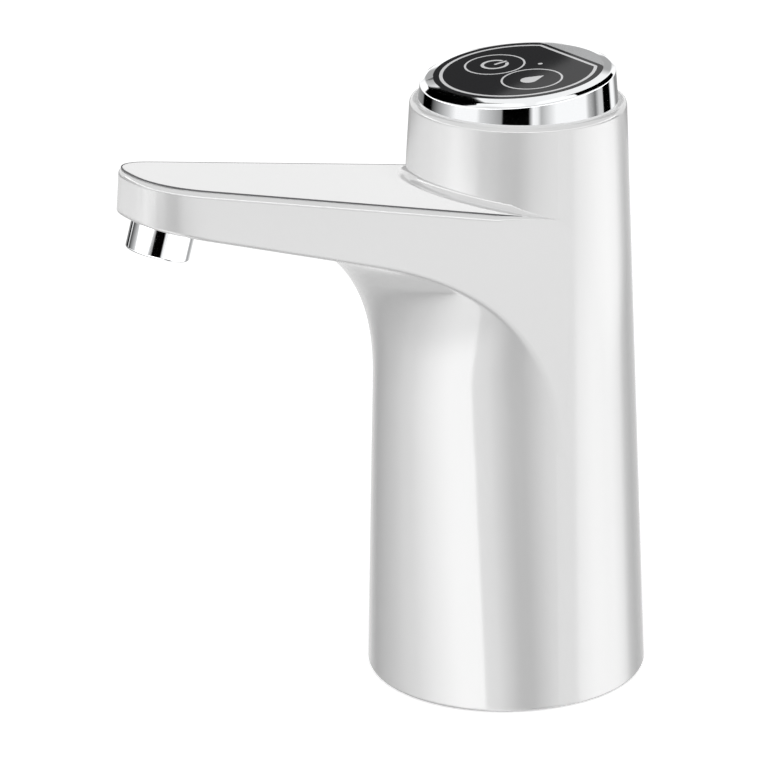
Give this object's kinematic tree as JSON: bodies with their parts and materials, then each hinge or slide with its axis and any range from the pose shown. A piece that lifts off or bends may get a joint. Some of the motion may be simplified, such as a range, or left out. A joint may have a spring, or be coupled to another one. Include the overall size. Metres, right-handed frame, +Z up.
{
  "type": "electric water jug pump",
  "caption": "White tapered column with a rising spout arm and a touch panel on top; it sits on the neck of a large water bottle and pumps water up to the spout nozzle.",
  "frame": {"origin": "centre of the base on the axis of the bottle neck, at the mouth of the neck socket", "axes": "+Z up the column, the spout arm reaches out along -X, Y is across"},
  "size_m": [0.1558, 0.0748, 0.1711],
  "materials": {
    "white_plastic": "glossy moulded white",
    "bright_trim": "bright plated",
    "black_glass": "black glossy touch glass",
    "lamp_lens": "clear lens",
    "grey_plastic": "moulded grey",
    "circuit_board": "green board",
    "board_chip": "black parts",
    "spring_pad": "bare metal",
    "soft_seal": "soft silicone",
    "steel": "bare steel",
    "magnet": "dark sintered",
    "cell_wrap": "shrink wrapped can",
    "pump_plastic": "moulded off white",
    "gear_plastic": "moulded natural",
    "rotor_steel": "laminated steel and copper"
  },
  "bodies": {
    "housing": {"main_housing": "white_plastic", "arm_cover": "white_plastic", "trim_ring": "bright_trim", "touch_glass": "black_glass", "panel_carrier": "grey_plastic", "control_board": "circuit_board", "board_parts": "board_chip", "sensing_pads": "spring_pad", "indicator_lamp": "lamp_lens", "board_screws": "steel", "base_collar": "white_plastic", "neck_seal": "soft_seal", "chassis": "grey_plastic", "deck_screws": "steel", "cell_cradle": "grey_plastic", "cell": "cell_wrap", "charge_board": "circuit_board", "charge_socket": "steel", "inlet_spigot": "pump_plastic", "pump_cover": "pump_plastic", "pump_body": "pump_plastic", "pump_gasket": "soft_seal", "pump_screws": "steel", "idler_axle": "steel", "motor_can": "steel", "motor_magnets": "magnet", "motor_end_cap": "grey_plastic", "delivery_hose": "soft_seal", "outlet_elbow": "white_plastic", "nozzle_core": "white_plastic", "nozzle_sleeve": "bright_trim"},
    "drive": {"motor_rotor": "rotor_steel", "drive_gear": "gear_plastic"},
    "idler": {"idler_gear": "gear_plastic"}
  },
  "joints": [
    {"name": "motor_spin", "type": "hinge", "parent": "housing", "child": "drive", "pos_m": [-0.007, 0.00603, 0.055], "axis": [0, 0, 1], "continuous": true},
    {"name": "idler_spin", "type": "hinge", "parent": "housing", "child": "idler", "pos_m": [-0.007, -0.00603, 0.0366], "axis": [0, 0, 1], "continuous": true}
  ],
  "couplings": [
    {"joint": "idler_spin", "follows": "motor_spin", "ratio": -1}
  ]
}
